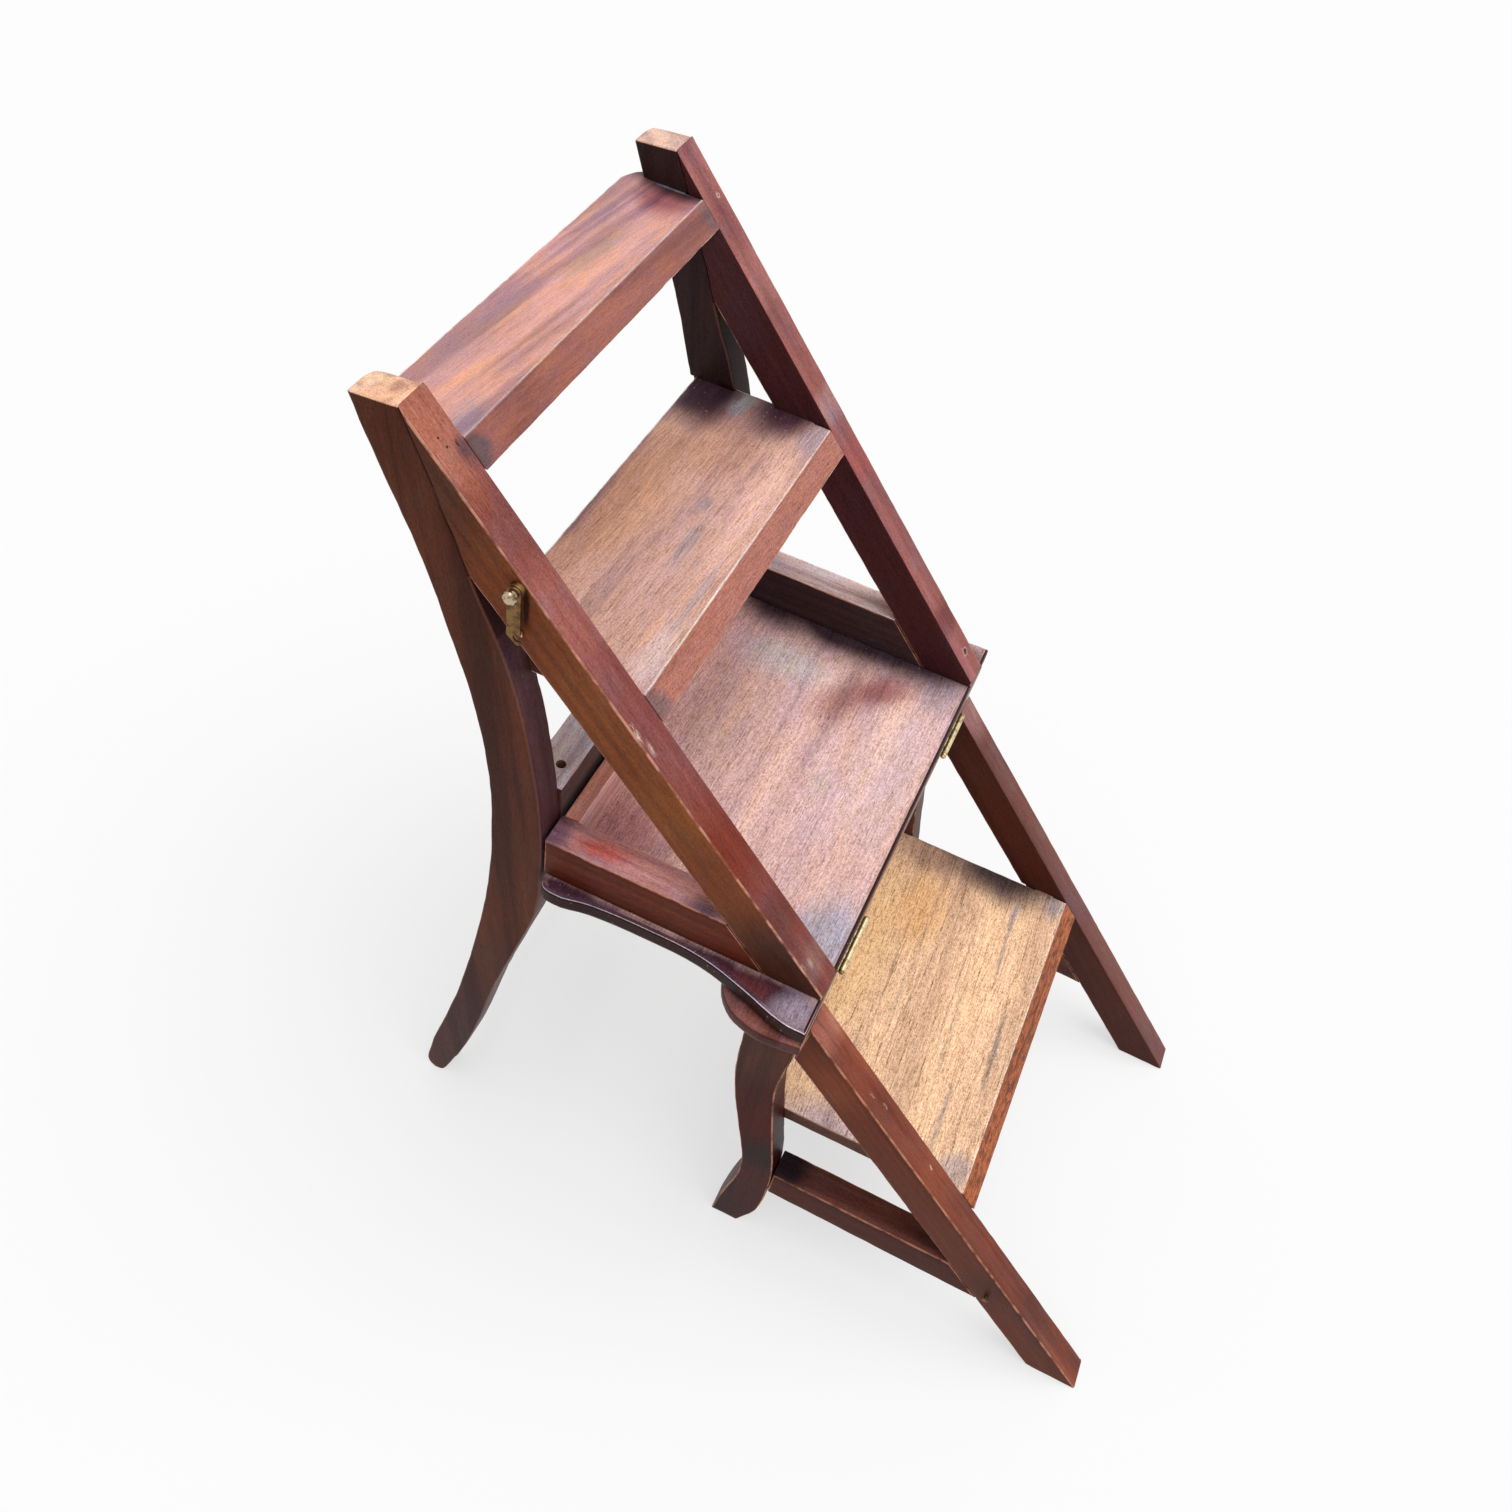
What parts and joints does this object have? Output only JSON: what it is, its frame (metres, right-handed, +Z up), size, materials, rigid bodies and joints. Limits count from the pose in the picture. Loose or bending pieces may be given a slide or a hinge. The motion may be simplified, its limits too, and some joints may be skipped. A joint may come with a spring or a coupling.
{
  "type": "library step chair",
  "caption": "Wooden library step chair opened out as a small flight of steps; the upper half hinges over to make a chair.",
  "frame": {"origin": "Centre of the bounding box on the floor, between the toes of the lower stringers and the rear edge of the top tread", "axes": "+Z up, +Y from the climbing side towards the stiles, +X to the right seen from the climbing side"},
  "size_m": [0.4836, 0.764, 0.8708],
  "materials": {
    "frame_wood": "dark red-brown stained and polished hardwood",
    "tread_wood": "red-brown polished hardwood, worn on top",
    "seat_wood": "purple-brown polished hardwood",
    "worn_wood": "golden worn hardwood with dark streaks",
    "hinge_brass": "bright brass",
    "aged_brass": "aged greenish brass"
  },
  "bodies": {
    "lower_frame": {"front_leg_left": "frame_wood", "front_leg_right": "frame_wood", "front_rail": "frame_wood", "hinge_pin_left": "hinge_brass", "hinge_pin_right": "hinge_brass", "latch_stud": "aged_brass", "lower_hinge_leaf_left": "hinge_brass", "lower_hinge_leaf_right": "hinge_brass", "lower_hinge_screw_left_1": "hinge_brass", "lower_hinge_screw_left_2": "hinge_brass", "lower_hinge_screw_left_3": "hinge_brass", "lower_hinge_screw_right_1": "hinge_brass", "lower_hinge_screw_right_2": "hinge_brass", "lower_hinge_screw_right_3": "hinge_brass", "lower_stringer_left": "frame_wood", "lower_stringer_right": "frame_wood", "lowest_tread": "worn_wood", "seat_front_board": "frame_wood", "side_stretcher_left": "frame_wood", "side_stretcher_right": "frame_wood"},
    "upper_frame": {"crest_rail": "frame_wood", "latch_parking_screw": "aged_brass", "latch_pivot_screw": "aged_brass", "latch_spacer": "aged_brass", "lower_back_rail": "frame_wood", "rear_rail": "frame_wood", "seat_board": "seat_wood", "seat_rear_apron": "tread_wood", "seat_side_rail_left": "frame_wood", "seat_side_rail_right": "frame_wood", "second_tread": "tread_wood", "stile_left": "frame_wood", "stile_right": "frame_wood", "top_tread": "tread_wood", "upper_hinge_leaf_left": "hinge_brass", "upper_hinge_leaf_right": "hinge_brass", "upper_hinge_screw_left_1": "hinge_brass", "upper_hinge_screw_left_2": "hinge_brass", "upper_hinge_screw_left_3": "hinge_brass", "upper_hinge_screw_right_1": "hinge_brass", "upper_hinge_screw_right_2": "hinge_brass", "upper_hinge_screw_right_3": "hinge_brass", "upper_stringer_left": "frame_wood", "upper_stringer_right": "frame_wood"},
    "latch": {"latch_plate": "aged_brass"}
  },
  "joints": [
    {"name": "fold", "type": "hinge", "parent": "lower_frame", "child": "upper_frame", "pos_m": [0, -0.0212, 0.4354], "axis": [1, 0, 0], "range_deg": [0, 180]},
    {"name": "latch_swing", "type": "hinge", "parent": "upper_frame", "child": "latch", "pos_m": [-0.2115, 0.2565, 0.76352], "axis": [1, 0, 0], "range_deg": [-90, 0]}
  ]
}
